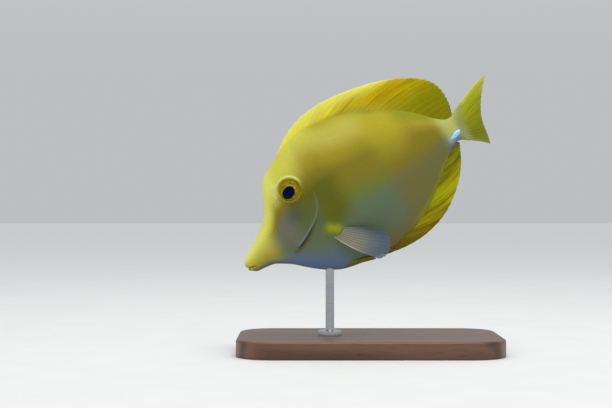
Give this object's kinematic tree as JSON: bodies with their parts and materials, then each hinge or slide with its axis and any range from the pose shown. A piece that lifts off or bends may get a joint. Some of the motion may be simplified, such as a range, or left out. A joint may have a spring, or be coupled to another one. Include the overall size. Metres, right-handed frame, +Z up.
{
  "type": "yellow tang",
  "caption": "Life-size still model of a yellow tang, a disc-shaped reef fish with a long snout, swimming nose down with its tail swung aside, on a flat stand with a rod.",
  "frame": {"origin": "centre of the stand's underside, on the surface that it rests on", "axes": "+X towards the tail, along the stand's length; +Z up; +Y to the fish's right side, so the left flank faces -Y"},
  "size_m": [0.122, 0.066, 0.1309],
  "materials": {
    "tang_skin": "satin, yellow above and greyer on the belly",
    "tang_fin": "satin yellow membrane with raised rays",
    "clear_fin": "clear membrane with pale yellow rays",
    "eye_glass": "polished, dark pupil in a brown iris",
    "spine_horn": "smooth white",
    "walnut": "oiled",
    "steel": "brushed"
  },
  "bodies": {
    "root": {"head": "tang_skin", "lower_jaw": "tang_skin", "gill_cover_left": "tang_skin", "gill_cover_right": "tang_skin", "eye_left": "eye_glass", "eye_right": "eye_glass", "trunk": "tang_skin", "tail_stem": "tang_skin", "tail_spine_left": "spine_horn", "tail_spine_right": "spine_horn", "dorsal_fin": "tang_fin", "anal_fin": "tang_fin", "caudal_fin": "tang_fin", "pectoral_fin_left": "clear_fin", "pectoral_fin_right": "clear_fin", "pelvic_fin_left": "tang_fin", "pelvic_fin_right": "tang_fin", "stand_base": "walnut", "stand_rod": "steel"}
  },
  "joints": []
}
